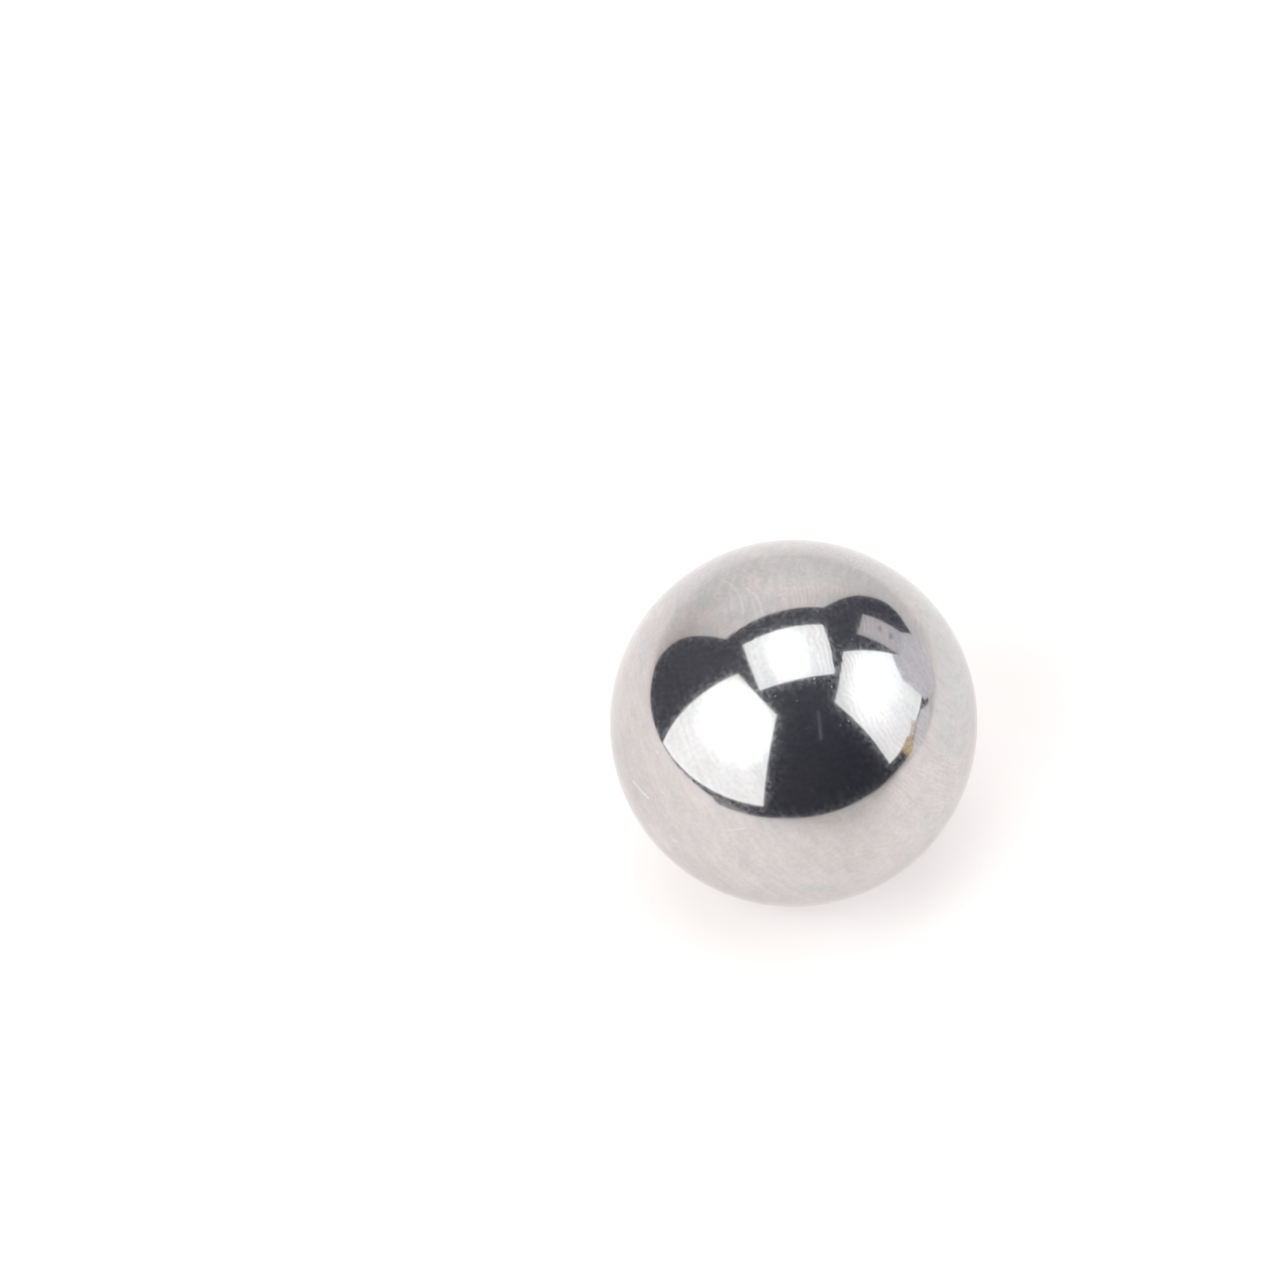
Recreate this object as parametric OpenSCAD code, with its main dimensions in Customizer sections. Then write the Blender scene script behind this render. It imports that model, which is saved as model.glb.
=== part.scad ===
// Polished steel ball: one solid sphere of through-hardened chrome steel.
// It is ground and lapped all over, so it has no flat, seam, hole or mark of its own.
// The origin is the centre of the ball, and +Z points straight up from the surface it lies on.

/* [Ball] */
// Diameter over the lapped surface
ball_d = 35; // [5:0.5:100]

/* [Hidden] */
// Facets round the ball where it is shown as a mesh
$fn = 180;

// The whole ball, a true sphere that touches a flat surface at one point only
module ball() {
    color("silver")
        sphere(d = ball_d);
}

ball();
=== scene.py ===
import math

import bpy
from mathutils import Matrix, Vector


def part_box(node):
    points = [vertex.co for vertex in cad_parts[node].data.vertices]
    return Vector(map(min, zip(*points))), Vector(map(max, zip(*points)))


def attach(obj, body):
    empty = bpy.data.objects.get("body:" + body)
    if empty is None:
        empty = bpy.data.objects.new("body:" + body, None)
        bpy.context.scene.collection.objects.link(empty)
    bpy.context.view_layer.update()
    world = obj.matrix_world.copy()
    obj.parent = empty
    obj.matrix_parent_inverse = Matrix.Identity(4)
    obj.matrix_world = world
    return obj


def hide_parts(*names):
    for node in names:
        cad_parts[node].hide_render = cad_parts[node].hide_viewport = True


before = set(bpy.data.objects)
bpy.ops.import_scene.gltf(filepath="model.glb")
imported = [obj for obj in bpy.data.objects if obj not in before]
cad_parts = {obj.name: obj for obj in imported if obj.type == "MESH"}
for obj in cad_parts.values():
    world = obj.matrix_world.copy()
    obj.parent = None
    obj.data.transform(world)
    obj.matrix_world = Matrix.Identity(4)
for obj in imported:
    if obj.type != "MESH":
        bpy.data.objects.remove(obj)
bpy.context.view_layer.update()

# ---------------------------------------------------------------------------
# The ball: one solid sphere of through-hardened chrome steel, with no other piece.
# It is forged from a slug of wire, hardened, ground between grooved plates and then
# lapped until it is round, so it has no seam, flat or pole.
# ---------------------------------------------------------------------------
MM = 0.001
low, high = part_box("ball")
ball_radius = (high.z - low.z) / 2
ROWS_ON_A_FACE = 112        # quads along each of the cube's faces that the sphere is drawn from


def add(tree, kind, links, **settings):
    """Adds a node: its own settings, and each input by name or number as a value or a socket to link."""
    node = tree.nodes.new(kind)
    for name, value in settings.items():
        setattr(node, name, value)
    for name, value in links.items():
        if isinstance(value, bpy.types.NodeSocket):
            tree.links.new(value, node.inputs[name])
        else:
            node.inputs[name].default_value = value
    return node


# A cube's grid, from -1 to 1, is blown up to a sphere. Taking the tangent of each grid angle
# first keeps the quads alike, and the cube has no pole for a reflection to pinch at.
tree = bpy.data.node_groups.new("ball_from_cube", "GeometryNodeTree")
radius_socket = tree.interface.new_socket("Radius", in_out="INPUT", socket_type="NodeSocketFloat")
rows_socket = tree.interface.new_socket("Rows", in_out="INPUT", socket_type="NodeSocketInt")
steel_socket = tree.interface.new_socket("Steel", in_out="INPUT", socket_type="NodeSocketMaterial")
tree.interface.new_socket("Ball", in_out="OUTPUT", socket_type="NodeSocketGeometry")
size = add(tree, "NodeGroupInput", {}).outputs
corners = add(tree, "ShaderNodeMath", {0: size["Rows"], 1: 1.0}, operation="ADD").outputs[0]
cube = add(tree, "GeometryNodeMeshCube", {
    "Size": (2, 2, 2), "Vertices X": corners, "Vertices Y": corners, "Vertices Z": corners})
place = add(tree, "GeometryNodeInputPosition", {}).outputs[0]
angle = add(tree, "ShaderNodeVectorMath", {0: place, 1: (math.pi / 4,) * 3}, operation="MULTIPLY")
spread = add(tree, "ShaderNodeVectorMath", {0: angle.outputs[0]}, operation="TANGENT")
outward = add(tree, "ShaderNodeVectorMath", {0: spread.outputs[0]}, operation="NORMALIZE")
surface = add(tree, "ShaderNodeVectorMath", {0: outward.outputs[0], "Scale": size["Radius"]},
              operation="SCALE")
sphere = add(tree, "GeometryNodeSetPosition", {
    "Geometry": cube.outputs["Mesh"], "Position": surface.outputs[0]})
smooth = add(tree, "GeometryNodeSetShadeSmooth", {"Geometry": sphere.outputs[0]})
real = add(tree, "GeometryNodeRealizeInstances", {"Geometry": smooth.outputs[0]})
finished = add(tree, "GeometryNodeSetMaterial", {
    "Geometry": real.outputs[0], "Material": size["Steel"]})
add(tree, "NodeGroupOutput", {"Ball": finished.outputs[0]})


def linear(hex_colour):
    """An sRGB hex colour as linear red, green, blue and a full alpha."""
    parts = [int(hex_colour[i:i + 2], 16) / 255 for i in (0, 2, 4)]
    return [c / 12.92 if c <= 0.04045 else ((c + 0.055) / 1.055) ** 2.4 for c in parts] + [1.0]


def blank_nodes(owner):
    """The node tree of a material or lamp, emptied."""
    owner.use_nodes = True
    owner.node_tree.nodes.clear()
    return owner.node_tree


# Lapped chrome steel: a bare metal mirror. The lap leaves a faint grain and rings about the axes
# that the ball turned on, so bright things glow and break up at their edges, and the metal is
# cloudy, warmer and cooler in patches, with the scratches and specks of a handled ball.
STEEL_WARM = "C4BFBE"
STEEL_COOL = "BEBEBF"
EDGE_TINT = 0.93            # share of the light that the metal keeps toward its rim
CLOUD_MM = 6.0              # patches of warmer and cooler metal
SMEAR_MM = 2.2              # smears inside them
GRAIN_MM = 0.42             # the lap's grain, drawn some ten times too coarse so that it shows
SWAY_MM = 3.0               # waves that the rings wander in

steel = bpy.data.materials.new("lapped_chrome_steel")
nodes = blank_nodes(steel)
where = add(nodes, "ShaderNodeTexCoord", {}).outputs["Object"]
in_mm = add(nodes, "ShaderNodeVectorMath", {0: where, "Scale": 1 / MM}, operation="SCALE").outputs[0]
sway = add(nodes, "ShaderNodeTexNoise", {
    "Vector": in_mm, "Scale": 1 / SWAY_MM, "Detail": 2.0}).outputs["Fac"]
cloud = add(nodes, "ShaderNodeTexNoise", {
    "Vector": in_mm, "Scale": 1 / CLOUD_MM, "Detail": 4.0, "Roughness": 0.65}).outputs["Fac"]
smear = add(nodes, "ShaderNodeTexNoise", {
    "Vector": in_mm, "Scale": 1 / SMEAR_MM, "Detail": 4.0, "Roughness": 0.6}).outputs["Fac"]
grain = add(nodes, "ShaderNodeTexNoise", {
    "Vector": in_mm, "Scale": 1 / GRAIN_MM, "Detail": 2.0, "Roughness": 0.6}).outputs["Fac"]


def mm_from(pole):
    """How far a place on the ball lies from a pole, in mm along the surface."""
    axis = Vector(pole).normalized() / (ball_radius / MM)
    turn = add(nodes, "ShaderNodeVectorMath", {0: in_mm, 1: axis}, operation="DOT_PRODUCT")
    angle = add(nodes, "ShaderNodeMath", {0: turn.outputs["Value"]}, operation="ARCCOSINE")
    return add(nodes, "ShaderNodeMath", {0: angle.outputs[0], 1: ball_radius / MM},
               operation="MULTIPLY").outputs[0]


def fade(value, start, end):
    """0 where the value is at start or before it, rising softly to 1 at end."""
    return add(nodes, "ShaderNodeMapRange", {"Value": value, "From Min": start, "From Max": end},
               interpolation_type="SMOOTHSTEP").outputs[0]


# The metal is warm where the clouds, with some of the smears in them, are high. They lean
# toward one side of the ball.
WARM_SIDE = Vector((-0.5, -0.75, 0.0))
WARM_LEAN = 0.14            # how much the clouds rise toward it
SMEARS_IN_CLOUDS = 0.4
WARM_OVER = 0.84            # clouds and smears together: warm over this
COOL_UNDER = 0.57           # and cool under this
to_warm_side = add(nodes, "ShaderNodeVectorMath", {
    0: in_mm, 1: WARM_SIDE * WARM_LEAN * MM / ball_radius}, operation="DOT_PRODUCT")
leaning = add(nodes, "ShaderNodeMath", {0: cloud, 1: to_warm_side.outputs["Value"]}, operation="ADD")
warmth = add(nodes, "ShaderNodeMath", {
    0: smear, 1: SMEARS_IN_CLOUDS, 2: leaning.outputs[0]}, operation="MULTIPLY_ADD")
coolness = fade(warmth.outputs[0], WARM_OVER, COOL_UNDER)

# The two axes that the ball last turned on, with their rings, each between two distances from its
# pole and only in places, and dashes along the rings of the second one over the rest of the ball
LEFT_POLE = (-0.50, 0.08, 0.86)
RIGHT_POLE = (0.80, 0.08, 0.59)
LEFT_RINGS_MM = (1.0, 10.0)
RIGHT_RINGS_MM = (8.0, 19.0)
LEFT_SPACING_MM = 0.75
RIGHT_SPACING_MM = 0.45
RINGS_RISE_MM = 2           # the rings set in over this length
RINGS_FALL_MM = 4           # and die out over this one
RINGS_WANDER = 5            # how far the waves bend a ring, in spacings
NO_RINGS, FULL_RINGS = 0.35, 0.6    # none where the waves are low, all where they are high
DASH_LENGTH_MM = 3.0
DASH_WIDTH_MM = 0.5


def lap_rings(away, first, last, spacing):
    """Waves from -1 to 1, one spacing apart, between two distances in mm from a pole."""
    bent = add(nodes, "ShaderNodeMath", {0: sway, 1: RINGS_WANDER * spacing, 2: away},
               operation="MULTIPLY_ADD")
    phase = add(nodes, "ShaderNodeMath", {0: bent.outputs[0], 1: math.tau / spacing}, operation="MULTIPLY")
    wave = add(nodes, "ShaderNodeMath", {0: phase.outputs[0]}, operation="SINE").outputs[0]
    for window in (fade(away, first, first + RINGS_RISE_MM), fade(away, last, last - RINGS_FALL_MM),
                   fade(sway, NO_RINGS, FULL_RINGS)):
        wave = add(nodes, "ShaderNodeMath", {0: wave, 1: window}, operation="MULTIPLY").outputs[0]
    return wave


from_right_pole = mm_from(RIGHT_POLE)
left_rings = lap_rings(mm_from(LEFT_POLE), *LEFT_RINGS_MM, LEFT_SPACING_MM)
right_rings = lap_rings(from_right_pole, *RIGHT_RINGS_MM, RIGHT_SPACING_MM)
along_rings = add(nodes, "ShaderNodeVectorMath", {0: in_mm, "Scale": 1 / DASH_LENGTH_MM}, operation="SCALE")
beside_rings = add(nodes, "ShaderNodeVectorMath", {
    0: from_right_pole, 1: Vector(RIGHT_POLE) / DASH_WIDTH_MM, 2: along_rings.outputs[0]},
    operation="MULTIPLY_ADD")
dashes = add(nodes, "ShaderNodeTexNoise", {
    "Vector": beside_rings.outputs[0], "Scale": 1.0, "Detail": 1.0}).outputs["Fac"]

# Scratches, each from one direction to another, with its width in mm and its depth from 0 to 1:
# short straight ones tear the metal and catch the light even where it mirrors the dark, and long
# arcs about the left axis are only brighter, as is a broad pale smear.
SCRATCHES = [
    ((-0.88, -0.46, 0.13), (-0.78, -0.61, 0.15), 0.30, 1.0),
    ((-0.78, -0.45, 0.44), (-0.73, -0.52, 0.44), 0.16, 0.8),
    ((-0.72, -0.64, 0.27), (-0.69, -0.67, 0.26), 0.18, 0.6),
    ((-0.66, -0.75, -0.02), (-0.62, -0.78, -0.01), 0.18, 0.9),
    ((-0.10, 0.13, 0.99), (-0.04, 0.17, 0.99), 0.14, 1.0),
    ((-0.40, -0.88, 0.25), (-0.26, -0.91, 0.32), 0.16, 0.6),
    ((0.34, -0.72, 0.61), (0.37, -0.68, 0.63), 0.16, 0.25),
]
ARCS = [
    ((-0.409, 0.348, 0.844), (-0.309, 0.190, 0.932), (-0.284, 0.012, 0.959), 0.22, 0.8),
    ((-0.282, 0.230, 0.931), (-0.208, 0.129, 0.969), (-0.183, 0.000, 0.983), 0.25, 0.75),
    ((-0.235, 0.127, 0.964), (-0.220, 0.053, 0.974), (-0.210, -0.022, 0.977), 0.20, 0.45),
    ((-0.361, 0.248, 0.899), (-0.346, 0.155, 0.925), (-0.347, 0.054, 0.936), 0.16, 0.4),
    ((-0.405, 0.130, 0.905), (-0.421, 0.064, 0.905), (-0.448, 0.033, 0.893), 0.14, 0.4),
    ((-0.565, 0.093, 0.820), (-0.527, 0.125, 0.840), (-0.495, 0.185, 0.849), 0.14, 0.4),
]
PALE_SMEAR = ((-0.79, -0.61, -0.06), (-0.65, -0.75, -0.16), 2.0)
FULL_DEPTH = 0.8            # share of its length that a scratch keeps its whole depth over


def scratch(start, end, width, through=None):
    """A scratch from one direction to another, straight or curved: 1 in it, 0 at width mm beside it."""
    start, end = Vector(start).normalized(), Vector(end).normalized()
    pole = start.cross(end)
    if through:
        bend = Vector(through).normalized()
        pole = (bend - start).cross(end - bend)
    pole.normalize()
    off = add(nodes, "ShaderNodeMath", {0: mm_from(pole), 1: pole.angle(start) * ball_radius / MM},
              operation="SUBTRACT")
    off = add(nodes, "ShaderNodeMath", {0: off.outputs[0]}, operation="ABSOLUTE").outputs[0]
    middle = (start + end).normalized()
    half_length = middle.angle(start) * ball_radius / MM
    return add(nodes, "ShaderNodeMath", {
        0: fade(off, width, 0.0), 1: fade(mm_from(middle), half_length, FULL_DEPTH * half_length)},
        operation="MULTIPLY").outputs[0]


scratches = 0.0
for start, end, width, depth in SCRATCHES:
    scratches = add(nodes, "ShaderNodeMath", {0: scratch(start, end, width), 1: depth, 2: scratches},
                    operation="MULTIPLY_ADD").outputs[0]
arcs = 0.0
for start, through, end, width, depth in ARCS:
    arcs = add(nodes, "ShaderNodeMath", {0: scratch(start, end, width, through), 1: depth, 2: arcs},
               operation="MULTIPLY_ADD").outputs[0]
pale_smear = scratch(*PALE_SMEAR)

# Specks: a third of the cells holds a pit or a grain of dust, which the surface may miss. They
# are plainest where the metal is cool.
SPECK_CELL_MM = 0.4
SPECK_MM = 0.14
EMPTY_CELLS = 0.67          # share of the cells that hold none
SPECK_EDGE = 0.25           # how soft its edge is, in cells
SPECK_ON_WARM, SPECK_ON_COOL = 0.25, 0.9
cells = add(nodes, "ShaderNodeTexVoronoi", {"Vector": in_mm, "Scale": 1 / SPECK_CELL_MM})
pick = add(nodes, "ShaderNodeSeparateXYZ", {0: cells.outputs["Color"]}).outputs["X"]
speck_size = add(nodes, "ShaderNodeMapRange", {
    "Value": pick, "From Min": EMPTY_CELLS, "From Max": 1.0, "To Max": SPECK_MM / SPECK_CELL_MM}).outputs[0]
inside = add(nodes, "ShaderNodeMath", {0: speck_size, 1: cells.outputs["Distance"]}, operation="SUBTRACT")
plain = add(nodes, "ShaderNodeMapRange", {
    "Value": coolness, "To Min": SPECK_ON_WARM, "To Max": SPECK_ON_COOL}).outputs[0]
speck = add(nodes, "ShaderNodeMath", {0: fade(inside.outputs[0], 0.0, SPECK_EDGE), 1: plain},
            operation="MULTIPLY").outputs[0]
torn = add(nodes, "ShaderNodeMath", {0: scratches, 1: speck}, operation="MAXIMUM").outputs[0]

# Each pattern brightens the metal by its share of the light and lifts it by its depth in
# thousandths of a mm. The first three go from 0 to 1 and so both darken and brighten.
MICRON = 1e-6
SMEAR_SHARE, GRAIN_SHARE, DASH_SHARE = 0.16, 0.26, 0.18
bright = 1.0 - 0.5 * (SMEAR_SHARE + GRAIN_SHARE + DASH_SHARE)
relief = 0.0
for pattern, share, depth in [(smear, SMEAR_SHARE, 0.5), (grain, GRAIN_SHARE, 0.5),
                              (dashes, DASH_SHARE, 0.3), (left_rings, 0.03, 0.25),
                              (right_rings, 0.035, 0.2), (pale_smear, 0.13, 0.0),
                              (scratches, 0.26, 0.0), (arcs, 0.14, 0.0)]:
    bright = add(nodes, "ShaderNodeMath", {0: pattern, 1: share, 2: bright},
                 operation="MULTIPLY_ADD").outputs[0]
    relief = add(nodes, "ShaderNodeMath", {0: pattern, 1: depth, 2: relief},
                 operation="MULTIPLY_ADD").outputs[0]
MIX_FIRST, MIX_SECOND, MIXED = 6, 7, 2      # the colour sockets of a Mix node
tone = add(nodes, "ShaderNodeMix", {
    "Factor": coolness, MIX_FIRST: linear(STEEL_WARM), MIX_SECOND: linear(STEEL_COOL)},
    data_type="RGBA").outputs[MIXED]
mirrored = add(nodes, "ShaderNodeVectorMath", {0: tone, "Scale": bright}, operation="SCALE").outputs[0]

# The lapped surface is a little rougher under the smears, and the torn metal of a mark scatters
# the light. Haze from the lap's finest grooves, drawn as a coat, scatters about a seventh of it:
# its IOR is so high that this share hardly grows toward the rim.
LAP_ROUGH = 0.075
LAP_ROUGH_SWING = 0.015
SMEAR_LOW, SMEAR_HIGH = 0.3, 0.7    # smooth at the first, roughest at the second
MARK_ROUGH = 0.42
HAZE_ROUGH = 0.18
HAZE_IOR = 4.0
HAZE_SHARE = ((HAZE_IOR - 1) / (HAZE_IOR + 1)) ** 2
HAZE_LEAST, HAZE_MOST = 0.15, 0.9
GRAIN_LOW, GRAIN_HIGH = 0.42, 0.72  # least haze at the first, most at the second
rough = add(nodes, "ShaderNodeMapRange", {
    "Value": smear, "From Min": SMEAR_LOW, "From Max": SMEAR_HIGH,
    "To Min": LAP_ROUGH - LAP_ROUGH_SWING, "To Max": LAP_ROUGH + LAP_ROUGH_SWING}).outputs[0]
rough = add(nodes, "ShaderNodeMapRange", {
    "Value": torn, "To Min": rough, "To Max": MARK_ROUGH}).outputs[0]
haze = add(nodes, "ShaderNodeMapRange", {
    "Value": grain, "From Min": GRAIN_LOW, "From Max": GRAIN_HIGH,
    "To Min": HAZE_LEAST, "To Max": HAZE_MOST}).outputs[0]
# The metal under the haze keeps only what the haze leaves of the light, so that haze alone spreads
# the light and doesn't add to it.
added = add(nodes, "ShaderNodeMath", {0: haze, 1: HAZE_SHARE}, operation="MULTIPLY").outputs[0]
left_over = add(nodes, "ShaderNodeVectorMath", {0: mirrored, 1: added}, operation="SUBTRACT")
passed = add(nodes, "ShaderNodeMath", {0: 1.0, 1: added}, operation="SUBTRACT")
colour = add(nodes, "ShaderNodeVectorMath", {
    0: left_over.outputs[0], 1: passed.outputs[0]}, operation="DIVIDE").outputs[0]
bumps = add(nodes, "ShaderNodeBump", {"Height": relief, "Distance": MICRON})
shader = add(nodes, "ShaderNodeBsdfPrincipled", {
    "Base Color": colour, "Metallic": 1.0, "Roughness": rough, "Normal": bumps.outputs[0],
    "Specular Tint": (EDGE_TINT, EDGE_TINT, EDGE_TINT, 1), "Coat Weight": haze,
    "Coat Roughness": HAZE_ROUGH, "Coat IOR": HAZE_IOR, "Coat Normal": bumps.outputs[0]})
add(nodes, "ShaderNodeOutputMaterial", {"Surface": shader.outputs[0]})

cage = bpy.data.objects.new("cage", bpy.data.meshes.new("cage"))
bpy.context.collection.objects.link(cage)
blow_up = cage.modifiers.new("ball_from_cube", "NODES")
blow_up.node_group = tree
blow_up[radius_socket.identifier] = ball_radius
blow_up[rows_socket.identifier] = ROWS_ON_A_FACE
blow_up[steel_socket.identifier] = steel
evaluated = cage.evaluated_get(bpy.context.evaluated_depsgraph_get())
ball = bpy.data.objects.new("steel_ball", bpy.data.meshes.new_from_object(evaluated))
bpy.context.collection.objects.link(ball)
bpy.data.objects.remove(cage)
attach(ball, "root")
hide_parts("ball")

# ---------------------------------------------------------------------------
# The paper: a 1.35 m roll of white background paper hangs from a bar behind the ball,
# sweeps down to the table and lies under the ball. Its right edge has curled up.
# ---------------------------------------------------------------------------
TABLE_Z = -ball_radius / MM
# Each edge of the sheet from the bar to its front corner, in mm from the ball's centre
LEFT_EDGE = [(-910, 622, 1045), (-910, 649, 652), (-910, 655, 266), (-620, 386, 29),
             (-418, 190, TABLE_Z), (-268, 65, TABLE_Z), (-233, -18, TABLE_Z), (-199, -103, TABLE_Z),
             (-160, -138, TABLE_Z), (-110, -140, TABLE_Z), (-75, -155, TABLE_Z), (-48, -178, TABLE_Z),
             (-21, -212, TABLE_Z), (18, -226, TABLE_Z)]
RIGHT_EDGE = [(375, 1016, 1076), (427, 855, 527), (461, 764, 289), (500, 647, 143),
              (562, 456, 110), (600, 200, 60), (600, -20, 19), (560, -216, 7),
              (500, -326, -4), (430, -362, -15), (345, -355, TABLE_Z), (300, -343, TABLE_Z),
              (275, -337, TABLE_Z), (255, -331, TABLE_Z)]
BAR_Z = LEFT_EDGE[0][2]
PAPER_DROP = 0.02           # mm that the sheet lies under the plain floor
STEPS_ALONG = 12            # rows of faces between two points of an edge
STEPS_ACROSS = 40
CURL = 4                    # how closely the lift of the right edge keeps to that edge


def through(points, steps):
    """A smooth (Catmull-Rom) curve through the points, with so many steps from each to the next."""
    points = [Vector(p) for p in points]
    ends = [2 * points[0] - points[1]] + points + [2 * points[-1] - points[-2]]
    curve = []
    for a, b, c, d in zip(ends, ends[1:], ends[2:], ends[3:]):
        for step in range(steps):
            t = step / steps
            curve.append(b + (c - a) * t / 2 + (2 * a - 5 * b + 4 * c - d) * t ** 2 / 2
                         + (3 * b - a - 3 * c + d) * t ** 3 / 2)
    return curve + [points[-1]]


def stage_mesh(name, points, faces, material):
    """A sheet of the studio, from points in mm."""
    mesh = bpy.data.meshes.new(name)
    mesh.from_pydata([Vector(p) * MM for p in points], [], faces)
    mesh.polygons.foreach_set("use_smooth", [True] * len(mesh.polygons))
    mesh.materials.append(material)
    made = bpy.data.objects.new(name, mesh)
    bpy.context.collection.objects.link(made)
    return made


def show_only_to(thing, *rays):
    """Lets a thing of the studio be met by no rays but these."""
    for ray in ("camera", "diffuse", "glossy", "shadow"):
        setattr(thing, "visible_" + ray, ray in rays)


# White background paper: matt, so it only scatters. It glows with painted fill light, standing in for light
# from all over the room, most at the top, where the flashes spill over it. The front right of the sheet is
# in painted shade.
PAPER_WHITE = "F1ECEB"
PAPER_ROUGH = 0.9
FILL_AT_BAR = 0.70          # more than on the table
FILL_ON_TABLE = 0.31
# Painted shade lies on the front right of the table, where the paper's white and its glow are darker:
INTO_SHADE = ((-0.8, -1.6), (1.0, -0.6))    # both of these ways across the table lead into it,
SHADE_STARTS = 20.0         # from so many mm along them
SHADE_FULL = 115.0          # to so many
SHADE = 0.70                # share of the light that still falls there
paper = bpy.data.materials.new("white_background_paper")
nodes = blank_nodes(paper)
where = add(nodes, "ShaderNodeTexCoord", {}).outputs["Object"]
in_mm = add(nodes, "ShaderNodeVectorMath", {0: where, "Scale": 1 / MM}, operation="SCALE").outputs[0]
sides = [add(nodes, "ShaderNodeVectorMath", {0: in_mm, 1: (*way, 0)}, operation="DOT_PRODUCT")
         for way in INTO_SHADE]
into_shade = add(nodes, "ShaderNodeMath", {
    0: sides[0].outputs["Value"], 1: sides[1].outputs["Value"]}, operation="MINIMUM")
lit = add(nodes, "ShaderNodeMapRange", {
    "Value": into_shade.outputs[0], "From Min": SHADE_STARTS, "From Max": SHADE_FULL,
    "To Min": 1.0, "To Max": SHADE}).outputs[0]
white = add(nodes, "ShaderNodeVectorMath", {
    0: linear(PAPER_WHITE)[:3], "Scale": lit}, operation="SCALE").outputs[0]
# Painted fill light: the paper glows, and more the higher it hangs.
height = add(nodes, "ShaderNodeSeparateXYZ", {0: in_mm}).outputs["Z"]
glow = add(nodes, "ShaderNodeMapRange", {
    "Value": height, "From Min": 0.0, "From Max": BAR_Z,
    "To Min": FILL_ON_TABLE, "To Max": FILL_ON_TABLE + FILL_AT_BAR}).outputs[0]
shader = add(nodes, "ShaderNodeBsdfPrincipled", {
    "Base Color": white, "Roughness": PAPER_ROUGH, "Specular IOR Level": 0.0,
    "Emission Color": white, "Emission Strength": glow})
add(nodes, "ShaderNodeOutputMaterial", {"Surface": shader.outputs[0]})

# The sheet is ruled from edge to edge. Where it hangs, its rows are straight, and on the table
# only their right ends lift.
rows = list(zip(through(LEFT_EDGE, STEPS_ALONG), through(RIGHT_EDGE, STEPS_ALONG)))
sheet_points = []
for left, right in rows:
    hang = (left.z - TABLE_Z) / (BAR_Z - TABLE_Z)
    for step in range(STEPS_ACROSS + 1):
        t = step / STEPS_ACROSS
        point = left.lerp(right, t)
        lift = hang * t + (1 - hang) * max(0.0, 2 * t - 1) ** CURL
        point.z = max(TABLE_Z, left.z + (right.z - left.z) * lift) - PAPER_DROP
        sheet_points.append(point)
next_row = STEPS_ACROSS + 1
sheet_faces = []
for row in range(len(rows) - 1):
    for corner in range(row * next_row, row * next_row + STEPS_ACROSS):
        sheet_faces.append((corner, corner + 1, corner + next_row + 1, corner + next_row))
sheet = stage_mesh("paper_sweep", sheet_points, sheet_faces, paper)
show_only_to(sheet, "diffuse", "glossy")

# ---------------------------------------------------------------------------
# The table: a grey top that the paper lies loose on. It is bare past the front left corner of
# the paper, which is nicked there, and only this patch of it is made.
# ---------------------------------------------------------------------------
# The patch glows with its grey as it looks in the studio's light, the light and shade on it painted in.
TABLE_GREY = "9C9CA0"
# The patch's outline, in mm from the ball's centre
TABLE_TOP = [(-51, -174), (-63, -154), (-77, -147), (-87, -132), (-96, -118), (-111, -122), (-147, -148),
             (-185, -190), (-180, -235), (-140, -222), (-99, -195), (-73, -180)]


def flat_card(name, points, colour):
    """One flat face that glows evenly with its own colour and the light and shade on it painted in, and
    shows in the ball alone.
    """
    material = bpy.data.materials.new(name)
    nodes = blank_nodes(material)
    lit = add(nodes, "ShaderNodeEmission", {"Color": linear(colour)})
    add(nodes, "ShaderNodeOutputMaterial", {"Surface": lit.outputs[0]})
    card = stage_mesh(name, points, [tuple(range(len(points)))], material)
    show_only_to(card, "glossy")


flat_card("table_top", [(x, y, TABLE_Z) for x, y in TABLE_TOP], TABLE_GREY)

# ---------------------------------------------------------------------------
# The floor: the same white paper going on beyond the sheet, for the eye alone. It has none of the sheet's
# painted shade on it, and glows with painted fill light, more farther out, where the lamps don't reach.
# ---------------------------------------------------------------------------
FLOOR_HALF = 3000           # half its side in mm
FILL_FAR_OUT = 1.2
FILL_GROWS_FROM = 60 * MM   # distance from the ball
FILL_GROWS_TO = 500 * MM
floor_paper = bpy.data.materials.new("white_paper_floor")
nodes = blank_nodes(floor_paper)
where = add(nodes, "ShaderNodeTexCoord", {}).outputs["Object"]
from_ball = add(nodes, "ShaderNodeVectorMath", {0: where}, operation="LENGTH").outputs["Value"]
glow = add(nodes, "ShaderNodeMapRange", {
    "Value": from_ball, "From Min": FILL_GROWS_FROM, "From Max": FILL_GROWS_TO,
    "To Min": FILL_ON_TABLE, "To Max": FILL_FAR_OUT}).outputs[0]
shader = add(nodes, "ShaderNodeBsdfPrincipled", {
    "Base Color": linear(PAPER_WHITE), "Roughness": PAPER_ROUGH, "Specular IOR Level": 0.0,
    "Emission Color": linear(PAPER_WHITE), "Emission Strength": glow})
add(nodes, "ShaderNodeOutputMaterial", {"Surface": shader.outputs[0]})
floor_points = [(x * FLOOR_HALF, y * FLOOR_HALF, TABLE_Z) for x, y in ((-1, -1), (1, -1), (1, 1), (-1, 1))]
floor = stage_mesh("floor", floor_points, [(0, 1, 2, 3)], floor_paper)
show_only_to(floor, "camera")

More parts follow.
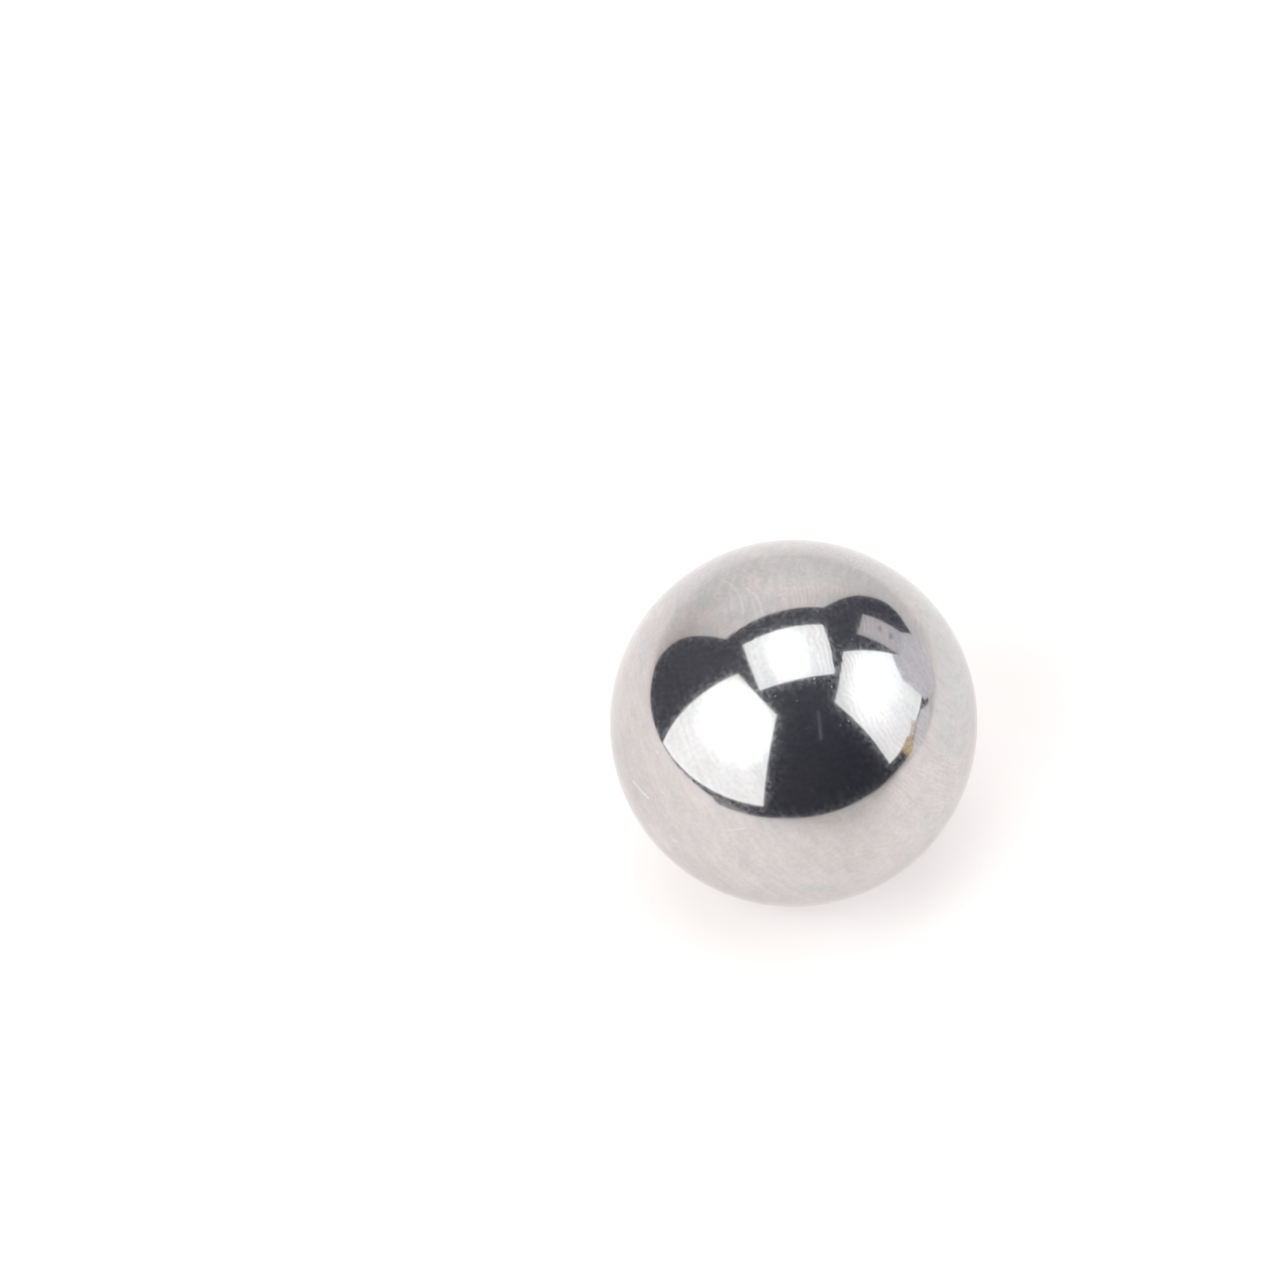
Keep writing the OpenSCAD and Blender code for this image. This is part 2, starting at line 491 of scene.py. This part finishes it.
# ---------------------------------------------------------------------------
# The lamps: three softboxes of 50 x 70 cm, one over the ball and one on either side of it. Each
# is a black cloth box, white inside, with a flash at its back and white cloth over its front,
# which is brightest in front of the flash.
# ---------------------------------------------------------------------------
LONG, SHORT = 700 * MM, 500 * MM
CLOTH_WHITE = "FBFFFF"
FAR_FROM_FLASH = 0.78       # brightness of the cloth there
RIM_MM = 20                 # the strip along its edges where the white walls of the box light it too
RIM_GLOW = 0.25
# Centre in mm, turn in degrees, width and height, power in watts, brightness of the cloth in front
# of the flash, where along and across it the flash sits, as shares, and how far its light spreads
# either way in metres
SOFTBOXES = {
    "softbox_above": ((-46, 117, 794), (-4.7, 0, 13.7), (LONG, SHORT),
                      2.2, 1.3, (0.48, 0.5), (0.23, 0.50)),
    "softbox_left": ((-293, -232, 332), (89, -4.4, -55.5), (SHORT, LONG),
                     2.2, 2.4, (0.5, 0.6), (0.31, 0.33)),
    "softbox_right": ((434, -47, 422), (19, 82.5, 13.4), (LONG, SHORT),
                      2.0, 1.3, (0.51, 0.6), (0.32, 0.42)),
}
for name, (centre, turn, (width, height), watts, at_flash, flash, reach) in SOFTBOXES.items():
    lamp = bpy.data.lights.new(name, "AREA")
    lamp.shape = "RECTANGLE"
    lamp.size = width
    lamp.size_y = height
    lamp.energy = watts
    nodes = blank_nodes(lamp)
    on_cloth = add(nodes, "ShaderNodeNewGeometry", {}).outputs["Parametric"]
    from_flash = add(nodes, "ShaderNodeVectorMath", {0: on_cloth, 1: (*flash, 0)}, operation="SUBTRACT")
    in_reaches = add(nodes, "ShaderNodeVectorMath", {
        0: from_flash.outputs[0], 1: (width / reach[0], height / reach[1], 0)}, operation="MULTIPLY")
    away = add(nodes, "ShaderNodeVectorMath", {0: in_reaches.outputs[0]}, operation="LENGTH")
    cloth = add(nodes, "ShaderNodeMapRange", {
        "Value": away.outputs["Value"], "To Min": at_flash, "To Max": FAR_FROM_FLASH},
        interpolation_type="SMOOTHSTEP")
    from_middle = add(nodes, "ShaderNodeVectorMath", {0: on_cloth, 1: (0.5, 0.5, 0)}, operation="SUBTRACT")
    to_middle = add(nodes, "ShaderNodeVectorMath", {0: from_middle.outputs[0]}, operation="ABSOLUTE")
    to_edge = add(nodes, "ShaderNodeSeparateXYZ", {0: to_middle.outputs[0]}).outputs
    rim = 0.0
    for axis, side in (("X", width), ("Y", height)):
        near = add(nodes, "ShaderNodeMapRange", {
            "Value": to_edge[axis], "From Min": 0.5 - RIM_MM * MM / side, "From Max": 0.5}).outputs[0]
        rim = add(nodes, "ShaderNodeMath", {0: near, 1: rim}, operation="MAXIMUM").outputs[0]
    cloth = add(nodes, "ShaderNodeMath", {0: rim, 1: RIM_GLOW, 2: cloth.outputs[0]},
                operation="MULTIPLY_ADD")
    beam = add(nodes, "ShaderNodeEmission", {"Color": linear(CLOTH_WHITE), "Strength": cloth.outputs[0]})
    add(nodes, "ShaderNodeOutputLight", {"Surface": beam.outputs[0]})
    softbox = bpy.data.objects.new(name, lamp)
    softbox.location = Vector(centre) * MM
    softbox.rotation_euler = [math.radians(a) for a in turn]
    softbox.visible_camera = False
    bpy.context.collection.objects.link(softbox)

# ---------------------------------------------------------------------------
# The room: its walls are dark as the ball mirrors them, a little paler at the back and on the
# left, and the eye sees plain pale walls in their place.
# ---------------------------------------------------------------------------
ROOM_HALF = 4000            # half its side in mm
ROOM_FRONT = "3A3C46"
ROOM_BACK = "5D5F67"
TO_BACK = (-0.5, 0.7, 0.5)  # the way that its walls grow paler
WALL_LIGHT = 0.19
room_dark = bpy.data.materials.new("dark_room")
nodes = blank_nodes(room_dark)
where = add(nodes, "ShaderNodeTexCoord", {}).outputs["Object"]
to_back = add(nodes, "ShaderNodeVectorMath", {0: where, 1: TO_BACK}, operation="DOT_PRODUCT")
share = add(nodes, "ShaderNodeMapRange", {
    "Value": to_back.outputs["Value"], "From Min": -ROOM_HALF * MM, "From Max": ROOM_HALF * MM})
wall = add(nodes, "ShaderNodeMix", {
    "Factor": share.outputs[0], MIX_FIRST: linear(ROOM_FRONT), MIX_SECOND: linear(ROOM_BACK)},
    data_type="RGBA").outputs[MIXED]
glow = add(nodes, "ShaderNodeEmission", {"Color": wall})
add(nodes, "ShaderNodeOutputMaterial", {"Surface": glow.outputs[0]})
room_corners = [Vector((x, y, z)) * ROOM_HALF for x in (-1, 1) for y in (-1, 1) for z in (-1, 1)]
room_walls = [(0, 1, 3, 2), (4, 6, 7, 5), (0, 4, 5, 1), (2, 3, 7, 6), (0, 2, 6, 4), (1, 5, 7, 3)]
room = stage_mesh("room", room_corners, room_walls, room_dark)
show_only_to(room, "glossy")

world = bpy.data.worlds.new("pale_walls")
world.use_nodes = True
walls = world.node_tree.nodes["Background"].inputs
walls["Color"].default_value = (1, 1, 1, 1)
walls["Strength"].default_value = WALL_LIGHT
world.cycles_visibility.glossy = False
bpy.context.scene.world = world
bpy.context.scene.view_settings.view_transform = "Standard"

# ---------------------------------------------------------------------------
# Odds and ends that stand round the table and show in the ball: cards, strips, a block of wood
# and the pole of a lamp stand. Each is drawn as the flat outline that faces the ball, glowing with
# its own colour and the light and shade on it painted in.
# ---------------------------------------------------------------------------
# Colour as it looks in the studio's light, with the light and shade painted in, the way that it
# faces in degrees round from the front, distance in mm, and corners in mm along it and over the table
CARDS = {
    "grey_card": ("E5E4E9", 118, 380, [(156, 284), (71, 419), (-33, 191), (62, 136)]),
    "left_hole": ("AFA6A8", 118, 375, [(84, 238), (80, 223), (61, 241), (65, 255)]),
    "right_hole": ("B2AAAB", 118, 375, [(56, 199), (52, 183), (29, 198), (32, 216)]),
    "pale_card": ("F5F3F9", 118, 380, [(62, 136), (65, 87), (28, 21), (-61, 7), (-142, 64),
                                       (-129, 194), (-78, 226), (-35, 235), (-33, 191)]),
    "white_strip": ("FDFBFF", 80, 400, [(81, 77), (42, 75), (5, 63), (-25, 48), (-51, 28), (-71, 18),
                                        (-62, 6), (-31, 6), (15, 6), (71, 17), (115, 28), (124, 48),
                                        (108, 57)]),
    "cream_strip": ("F4E8DA", 80, 398, [(21, 100), (38, 78), (8, 68), (-16, 58), (-28, 81)]),
    "wood_block": ("E0C996", 80, 398, [(-36, 87), (-17, 61), (-37, 37), (-70, 22), (-80, 49),
                                       (-86, 76)]),
    "lamp_stand": ("7E7E88", 25, 1000, [(28, 1696), (76, 1660), (-44, 919), (-86, 938)]),
}
for name, (colour, facing, far, outline) in CARDS.items():
    facing = math.radians(facing)
    outward = Vector((math.sin(facing), -math.cos(facing), 0))
    along = Vector((math.cos(facing), math.sin(facing), 0))
    points = [outward * far + along * x + Vector((0, 0, z + TABLE_Z)) for x, z in outline]
    flat_card(name, points, colour)

# ---------------------------------------------------------------------------
# The camera: a long lens looks down on the ball from the front. The ball lies right of and
# below the middle of its square frame, and its outline's place and size there set the aim and
# the distance.
# ---------------------------------------------------------------------------
FRAME_PX = 1283             # side of the frame
BALL_AT_PX = (793.3, 723.0)
BALL_RADIUS_PX = 184.2
LOOKS_DOWN = math.radians(54)
LENS_PX = 7220              # focal length
SENSOR_MM = 36
NEAREST = 10 * MM           # it sees nothing nearer than this
to_ball = Vector((BALL_AT_PX[0] - FRAME_PX / 2, FRAME_PX / 2 - BALL_AT_PX[1], -LENS_PX)).normalized()
far_off = ball_radius / math.sin(math.atan(BALL_RADIUS_PX / LENS_PX))
tilt = Matrix.Rotation(math.pi / 2 - LOOKS_DOWN, 4, "X")
lens = bpy.data.cameras.new("camera")
lens.sensor_width = SENSOR_MM
lens.lens = LENS_PX / FRAME_PX * SENSOR_MM
lens.clip_start = NEAREST
camera = bpy.data.objects.new("camera", lens)
camera.matrix_world = Matrix.Translation(tilt.to_3x3() @ to_ball * -far_off) @ tilt
bpy.context.collection.objects.link(camera)
bpy.context.scene.camera = camera
